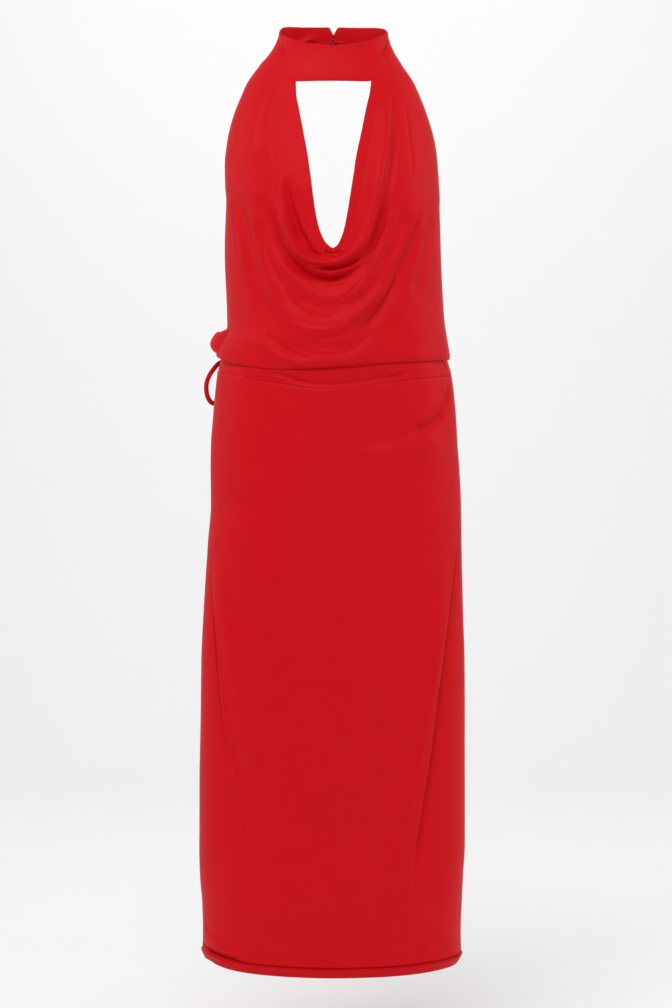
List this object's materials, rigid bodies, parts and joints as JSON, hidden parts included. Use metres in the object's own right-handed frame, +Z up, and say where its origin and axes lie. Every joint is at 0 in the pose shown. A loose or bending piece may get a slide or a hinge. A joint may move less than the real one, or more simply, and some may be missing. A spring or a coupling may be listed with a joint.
{
  "type": "halter-neck column dress with a cowl front and an open back",
  "caption": "Full-length jersey column dress: stand collar, deep cowl keyhole, open back, bloused waist, straight skirt and a tied cord at the side.",
  "frame": {"origin": "centre of the neck, where the collar holds the dress up", "axes": "+Z up along the dress, -Y out of its front, +X to the right of someone looking at the front"},
  "size_m": [0.3664, 0.2453, 1.3018],
  "materials": {
    "jersey": "smooth heavy slinky jersey with a soft satin sheen",
    "rouleau": "the same jersey sewn into a narrow round cord",
    "fastening": "hook and eye wire covered in red thread"
  },
  "bodies": {
    "root": {"collar": "jersey", "neck_hook": "fastening", "neck_eye": "fastening", "bodice_front": "jersey", "waistband_front": "jersey", "waistband_back": "jersey", "skirt_front": "jersey", "skirt_back": "jersey", "tie_band": "rouleau", "tie_knot": "rouleau", "tie_loop_side": "rouleau", "tie_loop_back": "rouleau", "tie_end_long": "rouleau", "tie_end_short": "rouleau"}
  },
  "joints": []
}
